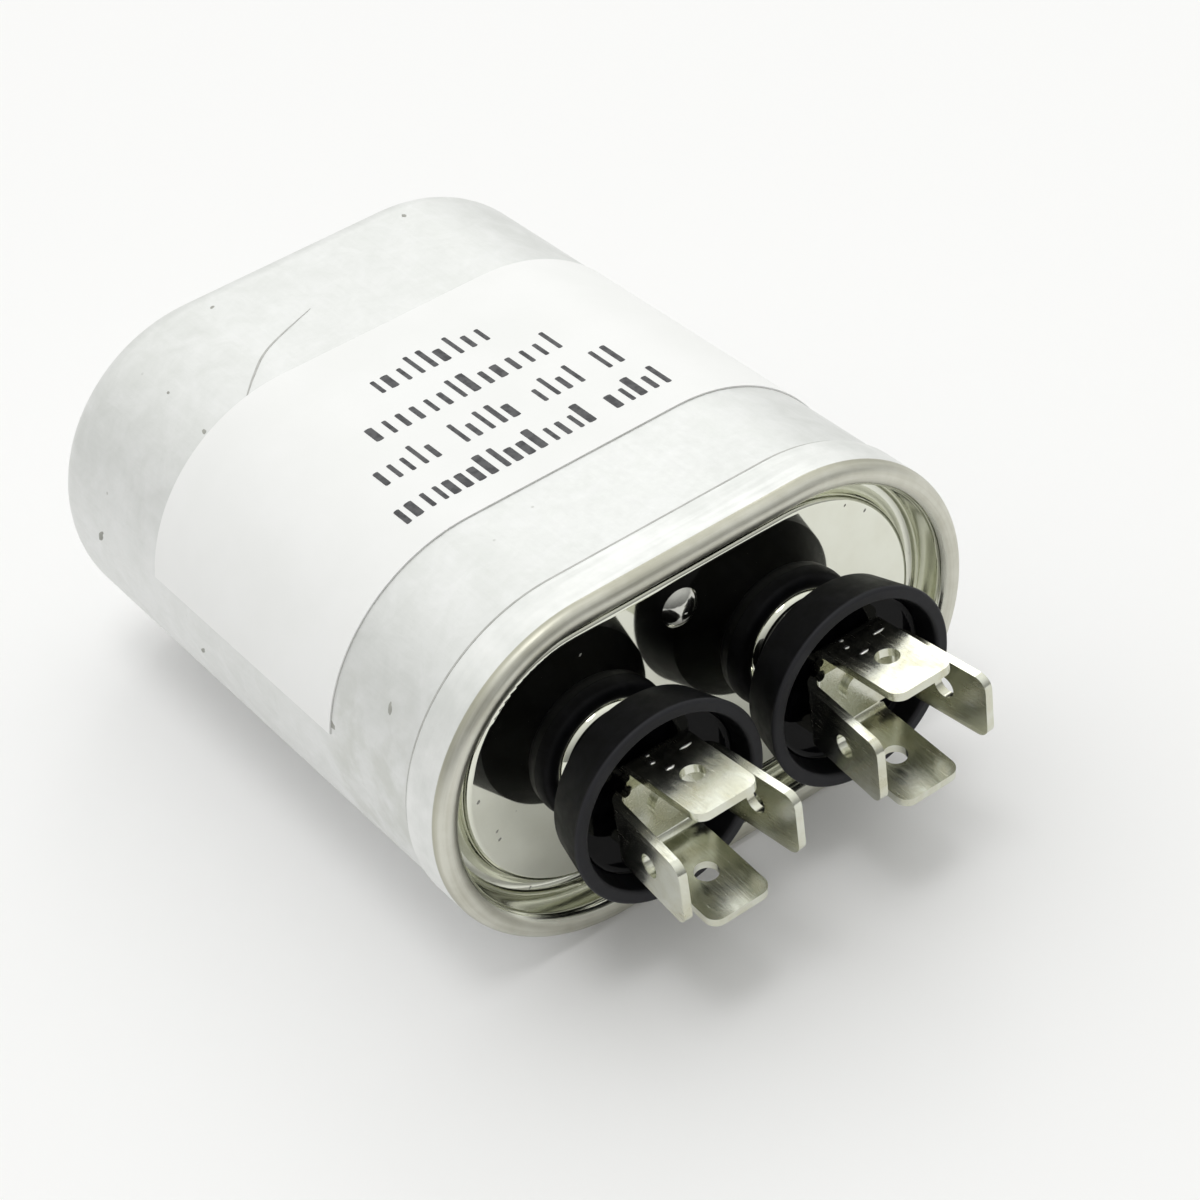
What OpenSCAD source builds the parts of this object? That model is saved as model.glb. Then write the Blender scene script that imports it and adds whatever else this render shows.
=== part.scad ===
// Motor run capacitor: an oval drawn can closed by a rolled cover, with two insulating cups
// on the cover and four push-on blades standing in each cup.
// Each piece is drawn standing on the can's closed end, then laid on a broad side of the can:
// +X runs along the can to the blades, +Y across it and +Z up. Millimetres.

/* [Can] */
// Width of the can's oval
can_w = 56.4; // [52:0.1:62]
// Thickness of the can's oval
can_t = 34; // [32:0.1:38]
// Height from the closed end to the shoulder under the seam
can_h = 61.6; // [50:0.1:90]
// Wall of the drawn can
can_wall = 0.5; // [0.4:0.05:0.7]
// Thickness of the closed end
base_wall = 0.6; // [0.5:0.05:1]
// Outside radius round the closed end
base_r = 3; // [2:0.1:4]
// Step inwards from the can's wall to the neck inside the seam
neck_step = 0.3; // [0.25:0.05:0.4]
// Wall of the neck inside the seam
neck_wall = 0.45; // [0.3:0.05:0.5]

/* [Cover] */
// Sheet thickness of the cover
cover_sheet = 0.5; // [0.4:0.05:0.6]
// How far the rolled seam stands out from the can
seam_proud = 0.25; // [0.25:0.05:0.5]
// Height of the seam's straight skirt
skirt_h = 3.8; // [2.5:0.1:5]
// Width of the rolled bead between the skirt and the recess
bead_w = 2.3; // [2.2:0.1:3]
// Depth of the moat below the crest of the bead
moat_depth = 4.6; // [4:0.1:6]
// Width of the moat round the panel
moat_w = 2; // [1.6:0.1:2.6]
// Rise of the panel above the bottom of the moat
panel_rise = 2; // [1.7:0.1:2.4]
// Radius of the bend between the moat and the panel
panel_bend_r = 0.6; // [0.6:0.05:0.7]

/* [Terminal bosses] */
// Outside diameter of the boss drawn up round each terminal
boss_d = 12; // [11.6:0.1:13]
// Height of a boss above the panel
boss_h = 1.4; // [1.2:0.1:1.6]
// Outside radius of a boss's shoulder
boss_bend_r = 0.8; // [0.6:0.05:0.8]

/* [Filling hole] */
// Place of the filling hole across the width
fill_x = -0.6; // [-2:0.1:2]
// Place of the filling hole across the thickness
fill_y = 9.5; // [8:0.1:10]
// Diameter of the filling hole
fill_hole_d = 1.6; // [1:0.1:2]
// Diameter of the solder drop that closes it
fill_drop_d = 3.8; // [3:0.1:4.5]
// Height of the solder drop
fill_drop_h = 0.9; // [0.5:0.1:1.2]

/* [Cups] */
// Distance between the two terminals
pitch = 20.6; // [20.2:0.1:22]
// Outside diameter of a cup at its rim
cup_d = 19.6; // [18.6:0.1:19.9]
// Outside diameter of a cup where its wall ends
cup_back_d = 17.4; // [16.6:0.1:18]
// Wall of a cup
cup_wall = 1.25; // [1:0.05:1.6]
// Height of a cup's rim above the panel
cup_h = 9.9; // [9.5:0.1:12]
// Height of a cup's wall above its tapered body
cup_wall_h = 4.6; // [4.2:0.1:5]
// Radius on both edges of a cup's rim
rim_r = 0.3; // [0.2:0.05:0.4]
// Depth of the well inside a cup
well_depth = 3.8; // [3.4:0.1:4.2]
// Height of the seat that carries the blades above the well's floor
seat_h = 1.5; // [1.2:0.1:1.7]
// Diameter of that seat
seat_d = 6.4; // [5.6:0.1:7]
// Space between the sealing resin and the blades' strips
resin_gap = 0.1; // [0.05:0.05:0.5]
// Rise of the resin where it wets the wall
meniscus_r = 0.6; // [0.4:0.1:0.8]
// Diameter of a cup's foot, on its gasket
foot_d = 10; // [9.4:0.1:10.2]
// Diameter of the spigot that passes through the cover
spigot_d = 8; // [7:0.1:8.6]
// Reach of the spigot below the cover
spigot_reach = 0.5; // [0.3:0.05:0.7]
// Diameter of a gasket
gasket_d = 10.3; // [9.8:0.1:10.4]
// Thickness of a gasket
gasket_t = 0.7; // [0.5:0.05:1]

/* [Blades] */
// Width of a blade
blade_w = 6.35; // [6.2:0.05:6.5]
// Thickness of a blade
blade_t = 0.8; // [0.75:0.01:0.85]
// Straight length of a blade above its bend
blade_len = 9.4; // [8:0.1:11]
// Flat length of a strip between its two bends
strip_flat = 7.6; // [7.2:0.1:8]
// Inside radius of a bend
bend_r = 0.9; // [0.6:0.05:1]
// Outward lean of each blade in degrees
splay = 5; // [0:0.5:8]
// Radius of the corners at a blade's tip
tip_r = 1.2; // [0.8:0.1:1.6]
// Diameter of the locking hole in a blade
lock_hole_d = 2.2; // [1.6:0.1:2.4]
// Distance of the locking hole from the tip
lock_hole_back = 4.9; // [4:0.1:5.5]
// Radius of the relief notches beside each bend
relief_r = 0.45; // [0.3:0.05:0.6]

/* [Rivets] */
// Diameter of a rivet's shank
rivet_d = 2.4; // [2:0.1:2.8]
// Diameter of a rivet's outer head
rivet_head_d = 3.4; // [3.2:0.1:3.8]
// Diameter of a rivet's inner head
rivet_tail_d = 4.4; // [3.6:0.1:5]
// Height of each head
rivet_head_h = 0.5; // [0.4:0.05:0.8]

/* [Inside] */
// Diameter of the washers under the cover
washer_d = 14; // [12:0.1:15]
// Thickness of the washers under the cover
washer_t = 1.6; // [1.3:0.1:2]
// Thickness of the soldering lugs
lug_t = 0.5; // [0.4:0.05:0.8]
// Diameter of a lug's eye
lug_eye_d = 6.4; // [5.6:0.1:7]
// Reach of a lug's tongue from the rivet
lug_reach = 11.6; // [11:0.1:12]
// Width of a lug's tongue and of the leads
lead_w = 4; // [3:0.1:5]
// Thickness of the leads
lead_t = 0.3; // [0.2:0.05:0.4]
// Length of a lead's soldered end
lead_pad = 3; // [2:0.1:3.4]
// Space between the rivets and the interrupter plate
plate_drop = 1.8; // [1:0.1:3]
// Thickness of the interrupter plate
plate_t = 1.2; // [0.8:0.1:2]
// Space for the oil between the can and the winding
oil_gap = 1.9; // [1.8:0.05:2.6]
// Thickness of the insulating wrap
wrap_t = 0.5; // [0.3:0.05:0.55]
// How far the wrap reaches past the top of the winding
wrap_over = 0.9; // [0.6:0.1:1.4]
// Thickness of the sprayed metal on each end of the winding
spray_t = 0.8; // [0.5:0.1:1.2]
// Thickness of the flattened core the film is wound on
core_t = 3; // [2:0.1:4]
// Wall of the core
core_wall = 0.8; // [0.5:0.1:0.9]
// Thickness of the pad under the winding
pad_t = 1.4; // [1:0.1:2]

/* [Label] */
// Distance from the closed end to the label
label_start = 19.4; // [8:0.1:22]
// Length of the label along the can
label_len = 30.2; // [25:0.1:36]
// Thickness of the label
label_t = 0.12; // [0.1:0.01:0.15]
// Height of the label's lower edges above the middle of the can
label_low = 3.1; // [0:0.1:6]

/* [Clearances] */
// Clearance between pieces that are pressed or bonded together
fit = 0.02; // [0.01:0.01:0.04]
// Clearance round pins and shanks in their holes
hole_fit = 0.05; // [0.03:0.01:0.08]
// Clearance between the can and what is slid into it
slide_fit = 0.1; // [0.05:0.05:0.2]

/* [Hidden] */
$fn = 96;
// Reach of a cutter past the face it leaves
cut = 1;
// Seam and cover, from the outside in and from the can up
end_x = (can_w - can_t) / 2;
can_r = can_t / 2;
bore_r = can_r - can_wall;
neck_r = can_r - neck_step;
seam_r = can_r + seam_proud;
recess_r = seam_r - bead_w;
moat_r = recess_r - moat_w / 2;
panel_r = recess_r - moat_w;
skirt_z = can_h + slide_fit;
bead_z = skirt_z + skirt_h;
crest_z = bead_z + bead_w / 2;
moat_z = crest_z - moat_depth;
panel_z = moat_z + panel_rise;
under_z = panel_z - cover_sheet;
neck_z = bead_z - slide_fit;
// Cups, blades and rivets
side_x = pitch / 2;
boss_r = boss_d / 2;
boss_z = panel_z + boss_h;
foot_z = boss_z + gasket_t;
rim_z = panel_z + cup_h;
taper_z = rim_z - cup_wall_h;
well_z = rim_z - well_depth;
strip_z = well_z + seat_h;
blade_top_z = strip_z + 2 * blade_t + fit + bend_r + blade_len * cos(splay) - bend_r * sin(splay);
washer_z = under_z - fit - washer_t;
lug_z = washer_z - fit - lug_t;
tail_z = lug_z - fit - rivet_head_h;
lead_z = lug_z - fit - lead_t;
// Inside the can, from the cover down and from the base up
plate_z = tail_z - plate_drop - plate_t;
wrap_top_z = plate_z - slide_fit;
spray_top_z = wrap_top_z - wrap_over - spray_t;
pad_z = base_wall + fit;
lead_foot_z = pad_z + pad_t + fit;
spray_low_z = lead_foot_z + lead_t + fit;
winding_z = spray_low_z + spray_t + fit;
winding_h = spray_top_z - fit - winding_z;
winding_r = bore_r - oil_gap;
wrap_r = winding_r + fit + wrap_t;
core_r = core_t / 2;
lead_out_r = bore_r - can_wall;
// The laid part
all_h = blade_top_z;
all_t = 2 * seam_r;

// Lays a standing piece on its broad side, with its middle over the origin
module lay() {
    translate([-all_h / 2, 0, all_t / 2]) rotate([90, 0, 90]) children();
}

// Places a piece at one of the two terminals
module at_side(side) {
    translate([side * side_x, 0, 0]) children();
}

// The can's oval with end radius r
module oval(r) {
    square([2 * end_x, 2 * r], center = true);
    for (s = [-1, 1]) translate([s * end_x, 0]) circle(r);
}

// Carries a half section, drawn as radius and height, round the oval
module oval_sweep() {
    for (s = [-1, 1])
        translate([s * end_x, 0, 0]) rotate([0, 0, -90 * s]) rotate_extrude(angle = 180) children();
    rotate([90, 0, 90]) linear_extrude(2 * end_x, center = true) {
        children();
        mirror([1, 0]) children();
    }
}

// Outside radius of a cup's wall at height z
function wall_r(z) = (cup_back_d + (cup_d - cup_back_d) * (z - taper_z) / cup_wall_h) / 2;

// A straight oval plate or tube blank
module oval_plate(r, z, h) {
    translate([0, 0, z]) linear_extrude(h) oval(r);
}

// A rectangle of a half section, from r0 to r1 and from z0 to z1
module band(r0, r1, z0, z1) {
    translate([r0, z0]) square([r1 - r0, z1 - z0]);
}

// Half section of a cup blank with a rounded lower edge
module blank(r, z0, z1, edge_r) {
    band(0, r, z0 + edge_r, z1);
    band(0, r - edge_r, z0, z1);
    translate([r - edge_r, z0 + edge_r]) circle(edge_r);
}

// Half a ring of sheet, opening down for up = 1 and up for up = -1
module half_ring(r_out, r_in, up) {
    difference() {
        circle(r_out);
        circle(r_in);
        translate([-r_out - cut, up > 0 ? -r_out - cut : 0]) square([2 * (r_out + cut), r_out + cut]);
    }
}

module can() {
    color([0.84, 0.85, 0.84]) lay() oval_sweep() difference() {
        union() {
            blank(can_r, 0, can_h, base_r);
            band(0, neck_r, can_h - cut, neck_z);
        }
        blank(bore_r, base_wall, can_h - can_wall, base_r - can_wall);
        band(0, neck_r - neck_wall, can_h - cut - can_wall, neck_z + cut);
    }
}

// Half section of the cover's sheet: bead, recess wall, moat and panel
module cover_section() {
    moat_in = moat_w / 2;
    moat_c = moat_z + moat_in;
    bead_r = bead_w / 2;
    band(seam_r - cover_sheet, seam_r, skirt_z, bead_z);
    translate([seam_r - bead_r, bead_z]) half_ring(bead_r, bead_r - cover_sheet, 1);
    band(recess_r, recess_r + cover_sheet, moat_c, bead_z);
    translate([moat_r, moat_c]) half_ring(moat_in + cover_sheet, moat_in, -1);
    band(panel_r - cover_sheet, panel_r, moat_c, panel_z - panel_bend_r);
    translate([panel_r - panel_bend_r, panel_z - panel_bend_r]) intersection() {
        half_ring(panel_bend_r, panel_bend_r - cover_sheet, 1);
        square(panel_bend_r);
    }
    band(0, panel_r - panel_bend_r, under_z, panel_z);
}

// Half section of the boss round a terminal: wall, rounded shoulder and top
module boss_section() {
    band(boss_r - cover_sheet, boss_r, under_z, boss_z - boss_bend_r);
    translate([boss_r - boss_bend_r, boss_z - boss_bend_r]) intersection() {
        half_ring(boss_bend_r, boss_bend_r - cover_sheet, 1);
        square(boss_bend_r);
    }
    band(spigot_d / 2 + hole_fit, boss_r - boss_bend_r, boss_z - cover_sheet, boss_z);
}

module cover() {
    color([0.66, 0.66, 0.60]) lay() difference() {
        union() {
            difference() {
                oval_sweep() cover_section();
                for (side = [-1, 1]) at_side(side)
                    translate([0, 0, under_z - cut])
                        cylinder(r = boss_r - cover_sheet, h = cover_sheet + 2 * cut);
            }
            for (side = [-1, 1]) at_side(side) rotate_extrude() boss_section();
        }
        translate([fill_x, fill_y, under_z - cut])
            cylinder(d = fill_hole_d + 2 * hole_fit, h = cover_sheet + 2 * cut);
    }
}

module seam_seal() {
    color([0.55, 0.45, 0.35]) lay() oval_sweep()
        band(recess_r + cover_sheet + fit, neck_r - neck_wall - fit, skirt_z, neck_z);
}

module label() {
    color([0.97, 0.97, 0.96]) lay() translate([0, 0, label_start]) linear_extrude(label_len)
        difference() {
            oval(can_r + fit + label_t);
            oval(can_r + fit);
            translate([-can_w, label_low - can_w]) square([2 * can_w, can_w]);
        }
}

module fill_plug() {
    drop_r = fill_drop_d / 2;
    ball_r = (drop_r * drop_r + fill_drop_h * fill_drop_h) / (2 * fill_drop_h);
    color([0.70, 0.70, 0.68]) lay() translate([fill_x, fill_y, 0]) {
        intersection() {
            translate([0, 0, panel_z + fit + fill_drop_h - ball_r]) sphere(ball_r);
            translate([0, 0, panel_z + fit]) cylinder(r = ball_r + cut, h = fill_drop_h + cut);
        }
        translate([0, 0, under_z]) cylinder(d = fill_hole_d, h = cover_sheet + fit + fill_drop_h / 2);
    }
}

// Half section of an insulating cup: rounded rim, wall, tapered body, foot and spigot
module cup_section() {
    round_z = rim_z - rim_r;
    out_r = wall_r(round_z);
    in_r = out_r - cup_wall;
    seat_z = well_z + seat_h - fit;
    difference() {
        union() {
            polygon([[0, under_z - spigot_reach], [spigot_d / 2, under_z - spigot_reach],
                [spigot_d / 2, foot_z], [foot_d / 2, foot_z], [foot_d / 2, foot_z + fit],
                [cup_back_d / 2, taper_z], [out_r, round_z], [0, round_z]]);
            band(in_r + rim_r, out_r - rim_r, round_z, rim_z);
            for (r = [in_r + rim_r, out_r - rim_r]) translate([r, round_z]) circle(rim_r);
        }
        polygon([[seat_d / 2, well_z], [wall_r(well_z) - cup_wall, well_z], [in_r, round_z],
            [0, round_z], [0, seat_z], [seat_d / 2, seat_z]]);
        band(0, rivet_d / 2 + hole_fit, washer_z, rim_z);
    }
}

module cup(side) {
    color([0.09, 0.09, 0.10]) lay() at_side(side) rotate_extrude() cup_section();
}

module resin(side) {
    low_z = well_z + fit;
    top_z = strip_z - resin_gap;
    edge_z = top_z + meniscus_r;
    edge_r = wall_r(edge_z) - cup_wall - fit;
    color([0.03, 0.03, 0.04]) lay() at_side(side) rotate_extrude() difference() {
        polygon([[seat_d / 2 + fit, low_z], [wall_r(low_z) - cup_wall - fit, low_z], [edge_r, edge_z],
            [edge_r - meniscus_r, edge_z], [edge_r - meniscus_r, top_z], [seat_d / 2 + fit, top_z]]);
        translate([edge_r - meniscus_r, edge_z]) circle(meniscus_r);
    }
}

module gasket(side) {
    color([0.80, 0.79, 0.74]) lay() at_side(side) translate([0, 0, boss_z + fit]) difference() {
        cylinder(d = gasket_d, h = gasket_t - 2 * fit);
        translate([0, 0, -cut]) cylinder(d = spigot_d + 2 * fit, h = gasket_t + 2 * cut);
    }
}

// Side view of a strip: a flat with a bend and a leaning blade at each end
module strip_side() {
    translate([-strip_flat / 2, 0]) square([strip_flat, blade_t]);
    for (s = [0, 1]) mirror([s, 0]) translate([strip_flat / 2, blade_t + bend_r]) {
        intersection() {
            difference() {
                circle(bend_r + blade_t);
                circle(bend_r);
            }
            polygon([[0, 0], [0, -3 * bend_r - 2 * blade_t],
                [3 * bend_r + 2 * blade_t, -3 * bend_r - 2 * blade_t],
                [(3 * bend_r + 2 * blade_t) * cos(splay), -(3 * bend_r + 2 * blade_t) * sin(splay)]]);
        }
        rotate(-splay) translate([bend_r, 0]) square([blade_t, blade_len]);
    }
}

// Cutters for one blade: the tip's corners, the locking hole and the relief notches at the bend
module blade_cuts() {
    translate([strip_flat / 2, 0, blade_t + bend_r]) rotate([0, splay, 0]) {
        translate([bend_r + blade_t / 2, 0, blade_len - lock_hole_back]) rotate([0, 90, 0])
            cylinder(d = lock_hole_d, h = blade_t + 2 * cut, center = true);
        for (s = [0, 1]) mirror([0, s, 0]) translate([bend_r - cut, blade_w / 2 - tip_r, blade_len - tip_r])
            difference() {
                cube([blade_t + 2 * cut, tip_r + cut, tip_r + cut]);
                rotate([0, 90, 0]) cylinder(r = tip_r, h = blade_t + 2 * cut);
            }
    }
    for (s = [-1, 1]) translate([strip_flat / 2, s * blade_w / 2, -cut])
        cylinder(r = relief_r, h = blade_t + 2 * cut);
}

// A U-shaped strip with a blade at each end and a rivet hole in its flat
module blade_strip(z) {
    translate([0, 0, z]) difference() {
        rotate([90, 0, 0]) linear_extrude(blade_w, center = true) strip_side();
        for (s = [0, 1]) mirror([s, 0, 0]) blade_cuts();
        translate([0, 0, -cut]) cylinder(d = rivet_d + 2 * hole_fit, h = blade_t + 2 * cut);
    }
}

module lower_blades(side) {
    color([0.74, 0.74, 0.66]) lay() at_side(side) rotate([0, 0, 90]) blade_strip(strip_z);
}

module upper_blades(side) {
    color([0.76, 0.76, 0.68]) lay() at_side(side) blade_strip(strip_z + blade_t + fit);
}

module rivet(side) {
    head_z = strip_z + 2 * (blade_t + fit);
    color([0.72, 0.72, 0.66]) lay() at_side(side) {
        translate([0, 0, tail_z]) cylinder(d = rivet_d, h = head_z + rivet_head_h - tail_z);
        translate([0, 0, head_z]) cylinder(d = rivet_head_d, h = rivet_head_h);
        translate([0, 0, tail_z]) cylinder(d = rivet_tail_d, h = rivet_head_h);
    }
}

module inner_washer(side) {
    color([0.45, 0.32, 0.20]) lay() at_side(side) difference() {
        translate([0, 0, washer_z]) cylinder(d = washer_d, h = washer_t);
        translate([0, 0, under_z - spigot_reach - fit])
            cylinder(d = spigot_d + 2 * hole_fit, h = spigot_reach + cut);
        translate([0, 0, washer_z - cut]) cylinder(d = rivet_d + 2 * hole_fit, h = washer_t + 2 * cut);
    }
}

module solder_lug(side) {
    color([0.78, 0.70, 0.42]) lay() at_side(side) translate([0, 0, lug_z]) difference() {
        union() {
            cylinder(d = lug_eye_d, h = lug_t);
            translate([-lead_w / 2, 0, 0]) cube([lead_w, lug_reach, lug_t]);
        }
        translate([0, 0, -cut]) cylinder(d = rivet_d + 2 * hole_fit, h = lug_t + 2 * cut);
    }
}

// A lead strip bent from boxes of the lead's width, each given by its reach and height
module lead_run(y0, y1, z0, z1) {
    translate([-lead_w / 2, y0, z0]) cube([lead_w, y1 - y0, z1 - z0]);
}

// Short lead from the first lug to the metal on top of the winding
module lead_a() {
    drop_y = lug_reach - lead_pad;
    foot_z = spray_top_z + spray_t + fit;
    color([0.80, 0.80, 0.78]) lay() at_side(-1) {
        lead_run(drop_y, lug_reach, lead_z, lead_z + lead_t);
        lead_run(drop_y, drop_y + lead_t, foot_z, lead_z + lead_t);
        lead_run(drop_y - lead_pad, drop_y + lead_t, foot_z, foot_z + lead_t);
    }
}

// Long lead from the second lug, down beside the winding and under it
module lead_b() {
    color([0.80, 0.80, 0.78]) lay() at_side(1) {
        lead_run(lug_reach - lead_pad, lead_out_r, lead_z, lead_z + lead_t);
        lead_run(lead_out_r - lead_t, lead_out_r, lead_foot_z, lead_z + lead_t);
        lead_run(winding_r - 2 * lead_pad, lead_out_r, lead_foot_z, lead_foot_z + lead_t);
    }
}

// Plate that holds the lugs back when the cover bulges, so that the leads break
module interrupter_plate() {
    slot_y = lug_reach - lead_pad - hole_fit;
    color([0.40, 0.28, 0.18]) lay() difference() {
        oval_plate(bore_r - slide_fit, plate_z, plate_t);
        translate([-side_x - lead_w / 2 - hole_fit, slot_y, plate_z - cut])
            cube([lead_w + 2 * hole_fit, lead_t + 2 * hole_fit, plate_t + 2 * cut]);
        translate([side_x - lead_w / 2 - hole_fit, lead_out_r - lead_t - hole_fit, plate_z - cut])
            cube([lead_w + 2 * hole_fit, can_r, plate_t + 2 * cut]);
    }
}

module winding() {
    color([0.86, 0.84, 0.78]) lay() difference() {
        oval_plate(winding_r, winding_z, winding_h);
        oval_plate(core_r + fit, winding_z - cut, winding_h + 2 * cut);
    }
}

module winding_core() {
    color([0.30, 0.30, 0.32]) lay() difference() {
        oval_plate(core_r, winding_z, winding_h);
        oval_plate(core_r - core_wall, winding_z - cut, winding_h + 2 * cut);
    }
}

module end_spray(z) {
    color([0.62, 0.63, 0.65]) lay() oval_plate(winding_r - slide_fit, z, spray_t);
}

module winding_wrap() {
    color([0.90, 0.89, 0.84]) lay() difference() {
        oval_plate(wrap_r, spray_low_z, wrap_top_z - spray_low_z);
        oval_plate(winding_r + fit, spray_low_z - cut, wrap_top_z - spray_low_z + 2 * cut);
    }
}

module bottom_pad() {
    color([0.55, 0.42, 0.28]) lay() oval_plate(bore_r - base_r + can_wall, pad_z, pad_t);
}

can();
cover();
seam_seal();
label();
fill_plug();
cup(-1);  // cup_a
cup(1);  // cup_b
resin(-1);  // resin_a
resin(1);  // resin_b
gasket(-1);  // gasket_a
gasket(1);  // gasket_b
lower_blades(-1);  // lower_blades_a
lower_blades(1);  // lower_blades_b
upper_blades(-1);  // upper_blades_a
upper_blades(1);  // upper_blades_b
rivet(-1);  // rivet_a
rivet(1);  // rivet_b
inner_washer(-1);  // inner_washer_a
inner_washer(1);  // inner_washer_b
solder_lug(-1);  // solder_lug_a
solder_lug(1);  // solder_lug_b
lead_a();
lead_b();
interrupter_plate();
winding();
winding_core();
end_spray(spray_top_z);  // end_spray_top
end_spray(spray_low_z);  // end_spray_bottom
winding_wrap();
bottom_pad();
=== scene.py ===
import math
import random

import bmesh
import bpy
from mathutils import Euler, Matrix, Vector


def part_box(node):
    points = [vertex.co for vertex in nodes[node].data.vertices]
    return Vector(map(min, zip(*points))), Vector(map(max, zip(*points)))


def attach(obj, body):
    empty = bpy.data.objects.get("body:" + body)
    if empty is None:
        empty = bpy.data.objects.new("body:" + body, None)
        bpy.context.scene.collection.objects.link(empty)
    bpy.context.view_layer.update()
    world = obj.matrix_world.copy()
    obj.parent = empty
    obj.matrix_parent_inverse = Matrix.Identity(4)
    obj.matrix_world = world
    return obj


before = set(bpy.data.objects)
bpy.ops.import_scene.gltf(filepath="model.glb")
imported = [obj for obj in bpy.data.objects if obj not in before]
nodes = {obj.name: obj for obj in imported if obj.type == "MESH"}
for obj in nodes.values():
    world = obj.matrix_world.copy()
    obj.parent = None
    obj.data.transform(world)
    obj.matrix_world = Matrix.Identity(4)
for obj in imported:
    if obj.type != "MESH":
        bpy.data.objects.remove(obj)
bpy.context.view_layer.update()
MM = 0.001

# ---- places taken from the CAD ------------------------------------------------
cover_low, cover_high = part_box("cover")
label_low, label_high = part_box("label")
can_low, can_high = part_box("can")
resin_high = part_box("resin_a")[1]
CREST = cover_high.x
AXIS_Z = (cover_low.z + cover_high.z) / 2
SEAM_R = (cover_high.z - cover_low.z) / 2
FLAT = cover_high.y - SEAM_R
CAN_R = (can_high.z - can_low.z) / 2
BEAD_W = 2.3 * MM
SKIRT_W = 3.8 * MM
PANEL_DEPTH = 2.6 * MM
GLINT_DEPTH = 0.6 * MM
BEAD_X = CREST - BEAD_W / 2
SKIRT_X = BEAD_X - SKIRT_W
PANEL_X = CREST - PANEL_DEPTH
# Foot of the painted glints (small bright metal flecks) in the resin, which lies below the resin's highest
# edge
GLINT_X = resin_high.x - GLINT_DEPTH


# ---- shader building ----------------------------------------------------------
def joined(tree, operation, a, b, c=0.0):
    """A maths node in a tree, fed with numbers or with other nodes' outputs."""
    made = tree.nodes.new("ShaderNodeMath")
    made.operation = operation
    for socket, value in zip(made.inputs, (a, b, c)):
        if isinstance(value, bpy.types.NodeSocket):
            tree.links.new(value, socket)
        else:
            socket.default_value = value
    return made.outputs[0]


class Shader:
    """A procedural Principled material under construction."""

    def __init__(self, name, color, rough, metallic=0.0, **constants):
        self.mat = bpy.data.materials.new(name)
        self.mat.use_nodes = True
        self.tree = self.mat.node_tree
        self.bsdf = self.tree.nodes["Principled BSDF"]
        self.set("Base Color", color)
        self.set("Roughness", rough)
        self.set("Metallic", metallic)
        for key, value in constants.items():
            self.set(key.replace("_", " "), value)
        self.place = self.add("ShaderNodeTexCoord").outputs["Object"]

    def add(self, kind, **props):
        made = self.tree.nodes.new(kind)
        for key, value in props.items():
            setattr(made, key, value)
        return made

    def feed(self, socket, value):
        if isinstance(value, bpy.types.NodeSocket):
            self.tree.links.new(value, socket)
        elif isinstance(value, (tuple, list)) and len(value) == 3 and socket.type == "RGBA":
            socket.default_value = (*value, 1.0)
        else:
            socket.default_value = value

    def set(self, name, value):
        self.feed(self.bsdf.inputs[name], value)

    def stretched(self, x, y, z):
        """Object coordinates with each axis scaled."""
        made = self.add("ShaderNodeMapping")
        self.feed(made.inputs["Vector"], self.place)
        made.inputs["Scale"].default_value = (x, y, z)
        return made.outputs["Vector"]

    def vector(self, x, y, z):
        made = self.add("ShaderNodeCombineXYZ")
        for socket, value in zip(made.inputs, (x, y, z)):
            self.feed(socket, value)
        return made.outputs[0]

    def noise(self, per_m, detail=3.0, rough=0.5, distortion=0.0, at=None):
        made = self.add("ShaderNodeTexNoise")
        self.feed(made.inputs["Vector"], at or self.place)
        made.inputs["Scale"].default_value = per_m
        made.inputs["Detail"].default_value = detail
        made.inputs["Roughness"].default_value = rough
        made.inputs["Distortion"].default_value = distortion
        return made.outputs["Fac"]

    def cells(self, per_m):
        """Distance to the nearest of many scattered points."""
        made = self.add("ShaderNodeTexVoronoi", feature="F1")
        self.feed(made.inputs["Vector"], self.place)
        made.inputs["Scale"].default_value = per_m
        return made.outputs["Distance"]

    def math(self, operation, a, b=0.0, c=0.0):
        return joined(self.tree, operation, a, b, c)

    def both(self, *shares):
        """The shares multiplied together."""
        total = shares[0]
        for share in shares[1:]:
            total = self.math("MULTIPLY", total, share)
        return total

    def total(self, *terms):
        total = terms[0]
        for term in terms[1:]:
            total = self.math("ADD", total, term)
        return total

    def span(self, value, low, high, to_low=0.0, to_high=1.0, smooth=False):
        """value mapped from low..high to to_low..to_high and clamped."""
        made = self.add("ShaderNodeMapRange", clamp=True)
        made.interpolation_type = "SMOOTHSTEP" if smooth else "LINEAR"
        for socket, number in zip(made.inputs, (value, low, high, to_low, to_high)):
            self.feed(socket, number)
        return made.outputs[0]

    def mix(self, share, a, b):
        made = self.add("ShaderNodeMix", data_type="RGBA")
        self.feed(made.inputs[0], share)
        self.feed(made.inputs[6], a)
        self.feed(made.inputs[7], b)
        return made.outputs[2]

    def axis(self, letter):
        if not hasattr(self, "split"):
            self.split = self.add("ShaderNodeSeparateXYZ")
            self.feed(self.split.inputs[0], self.place)
        return self.split.outputs["XYZ".index(letter)]

    def off_middle(self):
        """Distance from the straight middle line of the can's oval."""
        across = self.math("ABSOLUTE", self.axis("Y"))
        past = self.math("MAXIMUM", self.math("SUBTRACT", across, FLAT), 0.0)
        up = self.math("SUBTRACT", self.axis("Z"), AXIS_Z)
        return self.math("SQRT", self.total(self.both(past, past), self.both(up, up)))

    def bump(self, height, distance, strength=1.0):
        made = self.add("ShaderNodeBump")
        made.inputs["Strength"].default_value = strength
        made.inputs["Distance"].default_value = distance
        self.feed(made.inputs["Height"], height)
        self.feed(self.bsdf.inputs["Normal"], made.outputs["Normal"])


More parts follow.
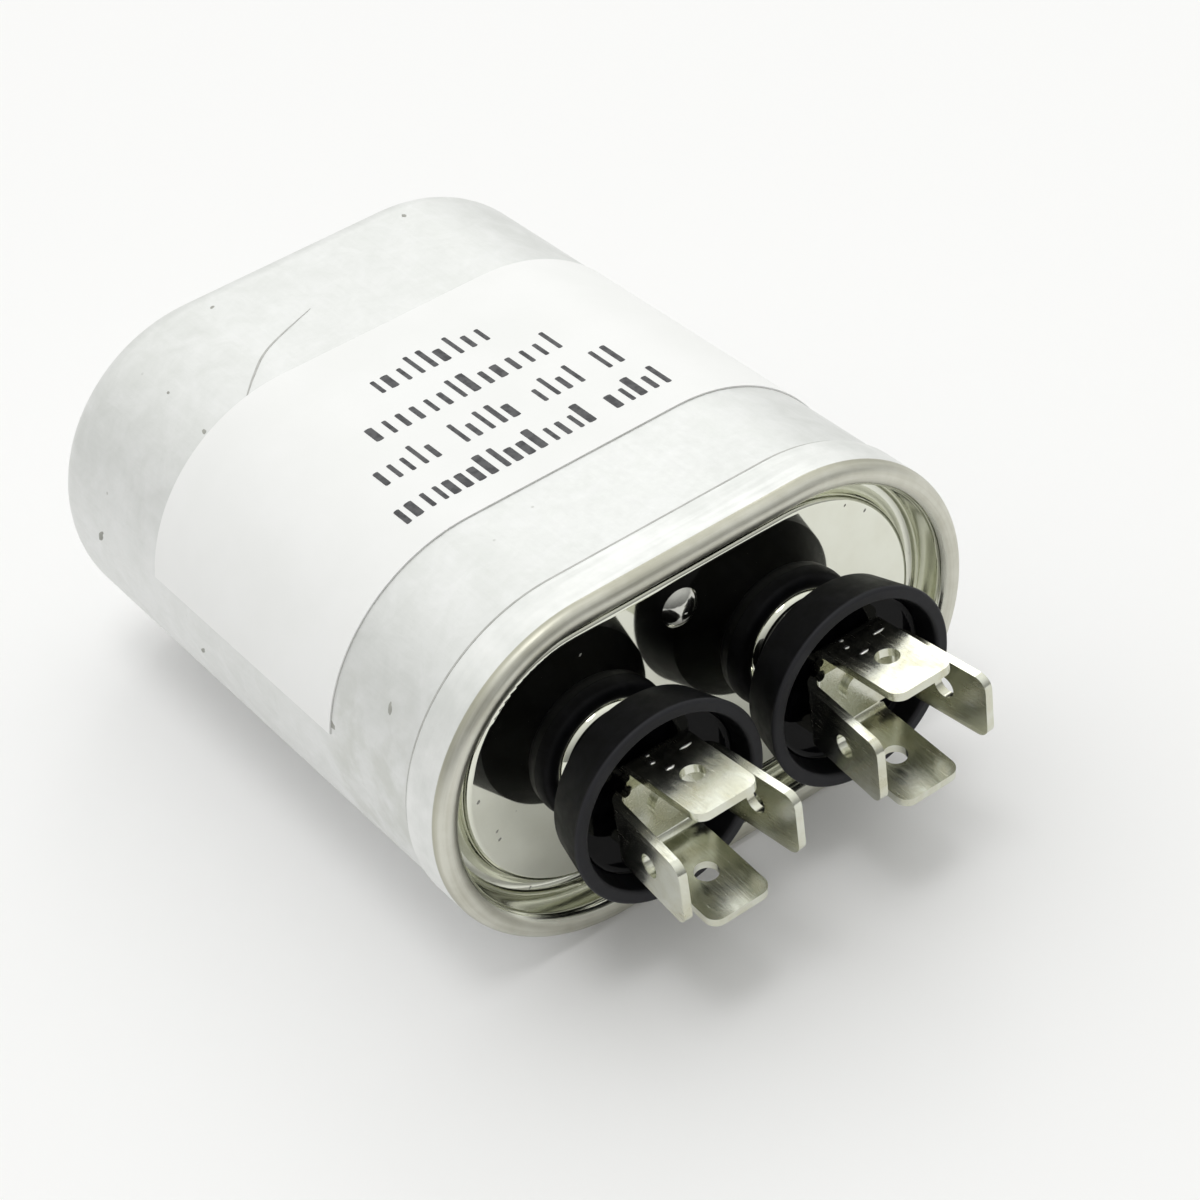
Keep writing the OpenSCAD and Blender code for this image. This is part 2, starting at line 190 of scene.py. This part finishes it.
def paint(shader, *names):
    """Gives CAD nodes a material."""
    for name in names:
        materials = nodes[name].data.materials
        materials.clear()
        materials.append(shader.mat)


def smoothed(mesh, crease=None):
    """Smooth faces, kept apart where they meet at more than crease degrees."""
    for polygon in mesh.polygons:
        polygon.use_smooth = True
    if crease:
        mesh.set_sharp_from_angle(angle=math.radians(crease))


# ---- camera -------------------------------------------------------------------
CAMERA_AT = (0.185108, -0.106211, 0.182959)
CAMERA_TURN = (51.2034, 6.8476, 53.4814)
camera_data = bpy.data.cameras.new("camera")
camera_data.sensor_width = 36.0
camera_data.lens = 88.93
camera_data.clip_start = 0.01
camera_data.clip_end = 20.0
camera = bpy.data.objects.new("camera", camera_data)
camera.location = CAMERA_AT
camera.rotation_euler = Euler([math.radians(a) for a in CAMERA_TURN])
bpy.context.scene.collection.objects.link(camera)
bpy.context.scene.camera = camera


# ---- room ---------------------------------------------------------------------
def light(name, at, aim, size, power):
    """A round soft lamp at one place, aimed at another."""
    data = bpy.data.lights.new(name, "AREA")
    data.shape = "DISK"
    data.size = size
    data.energy = power
    lamp = bpy.data.objects.new(name, data)
    lamp.location = at
    lamp.rotation_euler = (Vector(aim) - Vector(at)).to_track_quat("-Z", "Y").to_euler()
    bpy.context.scene.collection.objects.link(lamp)


def seen_directly(tree):
    """1 for camera, mirror and see-through rays, and then 1 for camera rays only."""
    path = tree.nodes.new("ShaderNodeLightPath").outputs
    mirrored = joined(tree, "MAXIMUM", path["Is Glossy Ray"], path["Is Transmission Ray"])
    return joined(tree, "MAXIMUM", path["Is Camera Ray"], mirrored), path["Is Camera Ray"]


# The room is brightest up behind the can's closed end and darker low down and in front
BRIGHT_SIDE = Vector((-0.67, 0.25, 0.70))
ROOM_SLOPE = 0.62
ROOM_LEVEL = 0.66
ROOM_CAP = 1.12
# Heights of the dim and the full room, as the direction's Z, and the room's share at each
DIM_HEIGHT, FULL_HEIGHT, DIM_SHARE, FULL_SHARE = 0.15, 0.65, 0.72, 1.0
world = bpy.data.worlds.new("room")
world.use_nodes = True
bpy.context.scene.world = world
tree = world.node_tree
backdrop = tree.nodes["Background"]
camera_rays = seen_directly(tree)[1]
direction = tree.nodes.new("ShaderNodeTexCoord").outputs["Generated"]
facing = tree.nodes.new("ShaderNodeVectorMath")
facing.operation = "DOT_PRODUCT"
tree.links.new(direction, facing.inputs[0])
facing.inputs[1].default_value = BRIGHT_SIDE
toward = tree.nodes.new("ShaderNodeSeparateXYZ")
tree.links.new(direction, toward.inputs[0])
height = tree.nodes.new("ShaderNodeMapRange")
tree.links.new(toward.outputs["Z"], height.inputs[0])
for socket, number in zip(list(height.inputs)[1:5], (DIM_HEIGHT, FULL_HEIGHT, DIM_SHARE, FULL_SHARE)):
    socket.default_value = number
spread = joined(tree, "MULTIPLY_ADD", facing.outputs["Value"], ROOM_SLOPE, ROOM_LEVEL)
room = joined(tree, "MULTIPLY", joined(tree, "MINIMUM", spread, ROOM_CAP), height.outputs[0])
tree.links.new(joined(tree, "MAXIMUM", room, camera_rays), backdrop.inputs["Strength"])
backdrop.inputs["Color"].default_value = (0.992, 1.0, 0.975, 1)

light("key", (-0.95, 0.85, 1.00), (0, 0, 0.02), 0.50, 1.2)
light("top", (0.15, -0.20, 1.55), (0, 0, 0), 0.50, 3.2)

FLOOR_GLOW = 0.045
bpy.ops.mesh.primitive_plane_add(size=6.0, location=(0, 0, 0))
floor = bpy.context.object
floor.name = "floor"
paper = Shader("floor", (0.885, 0.88, 0.885), 0.9)
paper.set("Specular IOR Level", 0.1)
paper.set("Emission Color", (1.0, 1.0, 1.0))
paper.set("Emission Strength", paper.both(seen_directly(paper.tree)[0], FLOOR_GLOW))
floor.data.materials.append(paper.mat)

# ---- can ----------------------------------------------------------------------
alu = Shader("aluminium", (0.85, 0.855, 0.85), 0.5, 1.0)
patches = alu.noise(330, 5, 0.62, 0.6)
clouds = alu.noise(70, 3, 0.5)
grain = alu.noise(1500, 4, 0.6)
drawn = alu.noise(2600, 3, 0.5, at=alu.stretched(0.03, 1, 1))
specks = alu.span(alu.cells(420), 0.03, 0.09, 1, 0, True)
rare = alu.span(alu.noise(230, 1), 0.62, 0.70)
tone = alu.total(alu.both(patches, 0.6), alu.both(clouds, 0.3), alu.both(drawn, 0.1))
skin = alu.mix(alu.span(tone, 0.36, 0.62), (0.73, 0.74, 0.725), (0.825, 0.83, 0.825))
# Darker mottled patches towards the bottom of the can's side, near the label's near edge
low_side = alu.span(alu.axis("Z"), AXIS_Z + 5 * MM, AXIS_Z + 13 * MM, 1, 0, True)
near_band = alu.span(alu.axis("X"), label_high.x - 1 * MM, label_high.x + 1 * MM)
low_side_patches = alu.both(low_side, near_band, alu.span(alu.noise(260, 4, 0.6), 0.42, 0.62))
skin = alu.mix(alu.both(low_side_patches, 0.5), skin, (0.62, 0.63, 0.59))
skin = alu.mix(alu.both(specks, rare, 0.7), skin, (0.45, 0.45, 0.42))
alu.set("Base Color", skin)
alu.set("Roughness", alu.total(
    alu.span(patches, 0.35, 0.65, 0.50, 0.58),
    alu.span(grain, 0.3, 0.7, 0.0, 0.08)))
alu.bump(alu.total(alu.both(grain, 0.6), alu.both(drawn, 0.4), alu.both(patches, 1.5)), 0.000012)
paint(alu, "can")

# ---- label --------------------------------------------------------------------
card = Shader("label", (0.91, 0.91, 0.905), 0.5, Specular_IOR_Level=0.3)
mottled = card.span(card.noise(120, 4), 0.35, 0.65)
card.set("Base Color", card.mix(mottled, (0.895, 0.897, 0.89), (0.92, 0.92, 0.917)))
card.bump(card.noise(900, 4, 0.6), 0.000006)
paint(card, "label")
ink = Shader("ink", (0.05, 0.05, 0.055), 0.55)
faded = ink.span(ink.noise(1500, 3), 0.35, 0.6)
ink.set("Base Color", ink.mix(faded, (0.035, 0.035, 0.04), (0.085, 0.085, 0.09)))

# ---- cover --------------------------------------------------------------------
TIN = (0.76, 0.77, 0.68)
plate = Shader("tinplate", TIN, 0.06, 1.0)
off = plate.off_middle()
outside = plate.span(off, SEAM_R - 2.25 * MM, SEAM_R - 1.6 * MM, 0, 1, True)
behind_bead = plate.span(plate.axis("X"), BEAD_X + 0.05 * MM, BEAD_X - 0.1 * MM, 0, 1, True)
skirt = plate.both(behind_bead, outside)
round_seam = plate.vector(plate.axis("X"), off, plate.both(plate.axis("Y"), 0.04))
rolled = plate.noise(2400, 3, 0.6, at=round_seam)
cloudy = plate.noise(260, 4, 0.6)
dust = plate.span(plate.cells(900), 0.02, 0.12, 1, 0, True)
some = plate.span(plate.noise(160, 2), 0.55, 0.68)
wear = plate.total(plate.both(rolled, 0.5), plate.both(cloudy, 0.5))
bead_wear_and_shade = plate.mix(plate.span(wear, 0.38, 0.62), (0.52, 0.51, 0.43), (0.68, 0.675, 0.60))
bright = plate.mix(plate.span(cloudy, 0.35, 0.7), TIN, (0.72, 0.725, 0.63))
bright = plate.mix(plate.both(dust, some, 0.5), bright, (0.30, 0.29, 0.25))
# Painted shade with dirt: the bead's colour darkened from near its crest back to the skirt
bead_back_dirt_and_shade = plate.span(plate.axis("X"), BEAD_X + 0.75 * MM, BEAD_X + 0.1 * MM, 0, 1, True)
bead_wear_and_shade = plate.mix(plate.both(bead_back_dirt_and_shade, 0.75), bead_wear_and_shade, (0.40, 0.39, 0.31))
finish = plate.mix(outside, bright, bead_wear_and_shade)
pale = plate.mix(plate.span(cloudy, 0.35, 0.65), (0.77, 0.78, 0.765), (0.86, 0.865, 0.855))
plate.set("Base Color", plate.mix(skirt, finish, pale))
plate.set("Roughness", plate.total(
    plate.span(outside, 0, 1, 0.045, 0.24),
    plate.span(off, SEAM_R - 4.5 * MM, SEAM_R - 4.2 * MM, 0.0, 0.08),
    plate.both(skirt, 0.2),
    plate.both(outside, plate.span(rolled, 0.35, 0.65, 0.0, 0.12)),
    plate.both(dust, some, 0.15)))
plate.bump(plate.total(plate.noise(90, 2), plate.both(outside, rolled, 0.7)), 0.000010)
paint(plate, "cover")

solder = Shader("solder", (0.58, 0.58, 0.54), 0.12, 1.0)
solder.bump(solder.noise(900, 2), 0.00004)
paint(solder, "fill_plug")

# ---- terminals ----------------------------------------------------------------
cup_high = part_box("cup_a")[1]
phenolic = Shader("phenolic", (0.004, 0.004, 0.005), 0.45, Specular_IOR_Level=0.1)
rim = phenolic.span(phenolic.axis("X"), cup_high.x - 0.45 * MM, cup_high.x - 0.2 * MM, 0, 1, True)
swirl = phenolic.noise(420, 4, 0.6, 0.8)
side = phenolic.mix(phenolic.span(swirl, 0.4, 0.7), (0.0025, 0.0025, 0.003), (0.006, 0.006, 0.0075))
phenolic.set("Base Color", phenolic.mix(phenolic.both(rim, 0.8), side, (0.034, 0.034, 0.038)))
phenolic.set("Roughness", phenolic.span(phenolic.noise(900, 3), 0.3, 0.7, 0.40, 0.52))
phenolic.bump(phenolic.noise(1800, 3), 0.000008)
paint(phenolic, "cup_a", "cup_b")

resin = Shader("resin", (0.0015, 0.0015, 0.002), 0.07, Specular_IOR_Level=0.08)
cloud = resin.span(resin.noise(500, 3), 0.4, 0.7)
resin.set("Base Color", resin.mix(cloud, (0.001, 0.001, 0.0015), (0.004, 0.004, 0.005)))
resin.bump(resin.noise(330, 2), 0.00006, 0.5)
paint(resin, "resin_a", "resin_b")

tinned = Shader("tinned_brass", (0.66, 0.67, 0.58), 0.20, 1.0)
scored = tinned.noise(5200, 3, 0.6, at=tinned.stretched(0.05, 1, 1))
tarnish = tinned.noise(300, 4, 0.6, 0.5)
dull = tinned.span(tarnish, 0.42, 0.68)
tinned.set("Base Color", tinned.mix(dull, (0.69, 0.70, 0.61), (0.58, 0.57, 0.44)))
tinned.set("Roughness", tinned.total(
    tinned.span(tarnish, 0.4, 0.7, 0.15, 0.24),
    tinned.span(scored, 0.4, 0.7, 0, 0.09)))
tinned.bump(scored, 0.000006)
paint(tinned, "lower_blades_a", "lower_blades_b", "upper_blades_a", "upper_blades_b", "rivet_a", "rivet_b")


# ---- small pieces laid on the surfaces ----------------------------------------
BLOB_SIDES = 14
RING_SIDES = 96


def on_can(x, s, lift):
    """A point of the can's outside: x along it, s round it from the far end of its flat top."""
    radius = CAN_R + lift
    if 0 <= s <= 2 * FLAT:
        return Vector((x, FLAT - s, AXIS_Z + radius))
    turn = -s / CAN_R if s < 0 else (s - 2 * FLAT) / CAN_R
    side = 1 if s < 0 else -1
    return Vector((x, side * (FLAT + radius * math.sin(turn)), AXIS_Z + radius * math.cos(turn)))


def piece(name, bm, shader):
    """Makes a piece that scene.py adds, riding the only body."""
    bmesh.ops.recalc_face_normals(bm, faces=bm.faces)
    mesh = bpy.data.meshes.new(name)
    bm.to_mesh(mesh)
    bm.free()
    made = bpy.data.objects.new(name, mesh)
    bpy.context.scene.collection.objects.link(made)
    mesh.materials.append(shader.mat)
    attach(made, "root")
    return made


def ribbon(bm, stations, foot, lift):
    """A closed slab on the can through pairs of (x, s) points, foot..lift above the can."""
    rings = []
    for (xa, sa), (xb, sb) in stations:
        corners = ((xa, sa, foot), (xb, sb, foot), (xb, sb, lift), (xa, sa, lift))
        rings.append([bm.verts.new(on_can(*c)) for c in corners])
    for a, b in zip(rings, rings[1:]):
        for k in range(4):
            bm.faces.new((a[k], a[(k + 1) % 4], b[(k + 1) % 4], b[k]))
    bm.faces.new(rings[0])
    bm.faces.new(rings[-1])


def tile(bm, x0, x1, s0, s1, foot, lift, corner=0.0):
    """A slab over x0..x1 and s0..s1, with its corners cut back."""
    steps = max(4, math.ceil((s1 - s0) / (0.8 * MM)))
    stations = []
    for i in range(steps + 1):
        s = s0 + (s1 - s0) * i / steps
        cut = max(0.0, corner - min(s - s0, s1 - s)) * 0.7
        stations.append(((x0 + cut, s), (x1 - cut, s)))
    ribbon(bm, stations, foot, lift)


def blob(bm, where, length, width, turn, lift, dice):
    """A low irregular bump, where(u, v, h) placing it on its surface."""
    ring = []
    top = []
    for k in range(BLOB_SIDES):
        a = 2 * math.pi * k / BLOB_SIDES
        r = 0.5 * dice.uniform(0.82, 1.1)
        u, v = length * r * math.cos(a), width * r * math.sin(a)
        u, v = u * math.cos(turn) - v * math.sin(turn), u * math.sin(turn) + v * math.cos(turn)
        ring.append(bm.verts.new(where(u, v, 0.0)))
        top.append(bm.verts.new(where(u * 0.6, v * 0.6, lift * 0.8)))
    peak = bm.verts.new(where(0.0, 0.0, lift))
    for k in range(BLOB_SIDES):
        n = (k + 1) % BLOB_SIDES
        bm.faces.new((ring[k], ring[n], top[n], top[k]))
        bm.faces.new((top[k], top[n], peak))
    bm.faces.new(ring)


def between(p, q, r, w, t):
    """A smooth value from q to r, with p before and w after them."""
    return 0.5 * (2 * q + (r - p) * t + (2 * p - 5 * q + 4 * r - w) * t * t
                  + (3 * q - p - 3 * r + w) * t ** 3)


def smooth_line(points, per_span=8):
    """Points of a curve that passes through the given (x, s) points."""
    padded = [points[0], *points, points[-1]]
    line = []
    for a, b, c, d in zip(padded, padded[1:], padded[2:], padded[3:]):
        for i in range(per_span):
            t = i / per_span
            line.append(tuple(between(*values, t) for values in zip(a, b, c, d)))
    line.append(points[-1])
    return line


# Plain strokes stand for the printed rows, in mm: middle along the can, start and end round it,
# and the number of strokes in each word
LABEL_LIFT = label_high.z - can_high.z
ROWS = ((2.82, -2.1, 27.1, (5, 16)), (-2.73, -1.1, 25.6, (2, 4, 5, 5)),
        (-8.58, 1.6, 22.6, (14,)), (-14.53, 5.5, 18.4, (9,)))
WORD_GAP = 1.7 * MM
ROW_HALF = 1.7
STROKE_WIDTHS = (0.45, 0.55, 0.8)
STROKE_HEIGHTS = (2.3, 2.3, 3.4)
PRINT_FOOT = LABEL_LIFT - 0.01 * MM
PRINT_TOP = LABEL_LIFT + 0.02 * MM
PRINT_CORNER = 0.12 * MM
dice = random.Random(11)
bm = bmesh.new()
for middle, start, end, words in ROWS:
    strokes = sum(words)
    pitch = ((end - start) * MM - WORD_GAP * (len(words) - 1)) / strokes
    s = start * MM
    for word in words:
        for _ in range(word):
            wide = dice.choice(STROKE_WIDTHS) * MM
            tall = dice.choice(STROKE_HEIGHTS) * MM
            base = (middle + ROW_HALF) * MM
            tile(bm, base - tall, base, s, s + wide, PRINT_FOOT, PRINT_TOP, PRINT_CORNER)
            s += pitch
        s += WORD_GAP
piece("print_strokes", bm, ink)

# Dirt and painted shadow along the label's edge and along the back edge of the seam's skirt
grime_and_shadow = Shader("grime_and_shadow", (0.34, 0.34, 0.31), 0.7)
grime_and_shadow.set("Base Color", grime_and_shadow.mix(grime_and_shadow.noise(1200, 4), (0.36, 0.36, 0.34), (0.62, 0.62, 0.60)))
LABEL_LINE_W = 0.08 * MM
SKIRT_LINE_FAR = 0.44 * MM
SKIRT_LINE_NEAR = 0.26 * MM
LABEL_END = 2 * FLAT + CAN_R * math.acos((label_low.z - AXIS_Z) / (CAN_R + LABEL_LIFT))
bm = bmesh.new()
for low, high in ((-20, 5), (5, 30), (30, LABEL_END / MM)):
    tile(bm, label_high.x, label_high.x + LABEL_LINE_W, low * MM, high * MM, 0.0, 0.03 * MM)
for low, high in ((-25, 0), (0, 25), (25, 55)):
    tile(bm, SKIRT_X - SKIRT_LINE_FAR, SKIRT_X - SKIRT_LINE_NEAR, low * MM, high * MM, -0.01 * MM, 0.04 * MM)
piece("edge_lines", bm, grime_and_shadow)

# A painted shadow line beyond the label's far edge, where the curved edge of a clear film lies; the film
# itself is not modelled
bm = bmesh.new()
line = smooth_line([(-29.9, 14.5), (-27.2, 20.8), (-24.2, 24.4), (-21.5, 27.1)])
stations = []
for i, (x, s) in enumerate(line):
    half = 0.09 * math.sin(math.pi * (i + 0.6) / len(line)) + 0.02
    stations.append((((x - half) * MM, s * MM), ((x + half) * MM, (s - half) * MM)))
ribbon(bm, stations, -0.005 * MM, 0.02 * MM)
piece("film_edge_shadow", bm, grime_and_shadow)

# Specks, in mm: along the can, round it, length, width, and the turn in radians
CAN_MARKS = ((8.0, 44.9, 1.3, 0.7, 0.5), (-23.0, 31.2, 0.75, 0.45, 0.2), (-33.2, 47.2, 1.9, 0.7, 2.2),
             (-15.2, 50.5, 1.6, 0.5, 2.4), (-37.2, -1.0, 0.7, 0.5, 0.0), (-37.2, 21.0, 0.6, 0.4, 0.9),
             (-30.5, 30.5, 0.4, 0.3, 0.0), (15.3, 39.4, 1.2, 0.5, 1.2))
soil = Shader("soil", (0.30, 0.30, 0.27), 0.8)
soil.set("Base Color", soil.mix(soil.noise(1600, 3), (0.24, 0.24, 0.22), (0.50, 0.50, 0.46)))
bm = bmesh.new()
for x, s, length, width, turn in CAN_MARKS:
    blob(bm, lambda u, v, h: on_can(x * MM + u, s * MM + v, h - 0.003 * MM),
         length * MM, width * MM, turn, 0.03 * MM, dice)
piece("marks_on_can", bm, soil)

# Specks on the panel, in mm: across, up, size
PANEL_MARKS = ((-21.5, 13.7, 0.45), (-21.6, 14.7, 0.4), (-22.8, 18.8, 0.5), (-19.5, 6.7, 0.4),
               (19.7, 25.9, 0.45), (17.6, 27.6, 0.35), (-10.9, 27.7, 0.35))
bm = bmesh.new()
for y, z, size in PANEL_MARKS:
    blob(bm, lambda u, v, h: Vector((PANEL_X + h, y * MM + u, z * MM + v)),
         size * MM, size * 0.6 * MM, 0.7, 0.04 * MM, dice)
piece("marks_on_panel", bm, soil)

# Profiles round each terminal, in mm along the can and out from the terminal's middle: the black
# collar that covers the boss, and the bright flared ring between the collar and the cup's foot
COLLAR = ((23.70, 5.3), (23.82, 5.45), (23.80, 6.2), (23.62, 6.6), (23.30, 6.8), (22.34, 6.9), (22.34, 5.9))
FLARE = ((24.42, 4.9), (24.42, 5.20), (24.36, 5.26), (23.80, 5.60), (23.70, 5.60), (23.70, 4.9))


def turned(name, profile, middle, shader):
    """A closed ring turned about a terminal's axis from (along the can, radius) points."""
    bm = bmesh.new()
    angles = [2 * math.pi * k / RING_SIDES for k in range(RING_SIDES)]
    rings = []
    for x, r in profile:
        rings.append([bm.verts.new((x * MM, middle + r * MM * math.cos(a), AXIS_Z + r * MM * math.sin(a)))
                      for a in angles])
    for a, b in zip(rings, rings[1:] + rings[:1]):
        for k in range(RING_SIDES):
            n = (k + 1) % RING_SIDES
            bm.faces.new((a[k], a[n], b[n], b[k]))
    smoothed(piece(name, bm, shader).data, 50)


def terminal_middle(side):
    """Where a terminal's middle lies across the can."""
    low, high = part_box("cup_" + side)
    return (low.y + high.y) / 2


for side in ("a", "b"):
    middle = terminal_middle(side)
    turned("collar_" + side, COLLAR, middle, phenolic)
    turned("flared_ring_" + side, FLARE, middle, plate)

# Painted glints: small bright metal flecks in the resin that stand in for glints, in mm and degrees: out
# from the terminal, angle, length, width, and the turn in radians
RESIN_GLINTS = ((3.9, -150, 0.5, 0.4, 0.0), (5.4, -141, 0.4, 0.4, 0.0), (6.0, -126, 0.45, 0.35, 0.4),
          (6.8, -113, 0.5, 0.35, 0.9), (6.2, -118, 0.35, 0.3, 0.0), (6.4, 60, 0.5, 0.35, 0.5))
# and painted glints at the root of the top blade, in mm: along the can, across the blade, length, width
ROOT_GLINTS = ((32.7, 1.75, 0.4, 1.5), (31.3, -1.15, 0.45, 0.5),
               (32.4, -1.45, 0.5, 0.6), (34.0, -0.85, 0.5, 1.1))
# Bright metal for the painted glints
glint = Shader("glint", (0.88, 0.88, 0.86), 0.3, 1.0)
glint.bump(glint.noise(2500, 2), 0.00004)
# The top blade's outer face rises toward its tip, and only the pair with a top blade is this high
LEAN = math.tan(math.radians(5))
TOP_BLADE_UP = 5 * MM
bm = bmesh.new()
for side in ("a", "b"):
    middle = terminal_middle(side)
    for out, angle, length, width, turn in RESIN_GLINTS:
        y = middle + out * MM * math.cos(math.radians(angle))
        z = AXIS_Z + out * MM * math.sin(math.radians(angle))
        blob(bm, lambda u, v, h: Vector((GLINT_X + h - 0.01 * MM, y + u, z + v)),
             length * MM, width * MM, turn, 0.22 * MM, dice)
    for side_name in ("upper_blades_", "lower_blades_"):
        low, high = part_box(side_name + side)
        if high.z > AXIS_Z + TOP_BLADE_UP:
            for x, across, length, width in ROOT_GLINTS:
                z = high.z - (high.x - x * MM) * LEAN
                y = middle + across * MM
                blob(bm, lambda u, v, h: Vector((x * MM + u, y + v, z + u * LEAN + h - 0.01 * MM)),
                     length * MM, width * MM, 0.0, 0.1 * MM, dice)
smoothed(piece("painted_glints", bm, glint).data)

# ---- hidden pieces ------------------------------------------------------------
INSIDE = {
    "sealing_compound": ((0.45, 0.36, 0.27), 0.6, ("seam_seal",)),
    "rubber": ((0.02, 0.02, 0.02), 0.6, ("gasket_a", "gasket_b")),
    "laminate": ((0.36, 0.24, 0.14), 0.5, ("inner_washer_a", "inner_washer_b", "interrupter_plate")),
    "wrap": ((0.84, 0.82, 0.76), 0.6, ("winding", "winding_wrap")),
    "core": ((0.25, 0.25, 0.27), 0.5, ("winding_core",)),
    "pressboard": ((0.48, 0.36, 0.24), 0.8, ("bottom_pad",)),
}
for name, (color, rough, wearers) in INSIDE.items():
    made = Shader(name, color, rough)
    dark = tuple(c * 0.8 for c in color)
    made.set("Base Color", made.mix(made.noise(400, 4), dark, color))
    made.bump(made.noise(1500, 3), 0.00002)
    paint(made, *wearers)
sprayed = Shader("sprayed_metal", (0.55, 0.56, 0.58), 0.6, 1.0)
sprayed.bump(sprayed.noise(2500, 3), 0.0001)
paint(sprayed, "end_spray_top", "end_spray_bottom")
strip = Shader("strip", (0.80, 0.78, 0.70), 0.35, 1.0)
strip.set("Roughness", strip.span(strip.noise(700, 3), 0.3, 0.7, 0.28, 0.42))
paint(strip, "solder_lug_a", "solder_lug_b", "lead_a", "lead_b")

# ---- smooth faces of the CAD nodes --------------------------------------------
for node in nodes.values():
    smoothed(node.data, 30)

bpy.context.scene.view_settings.view_transform = "Standard"
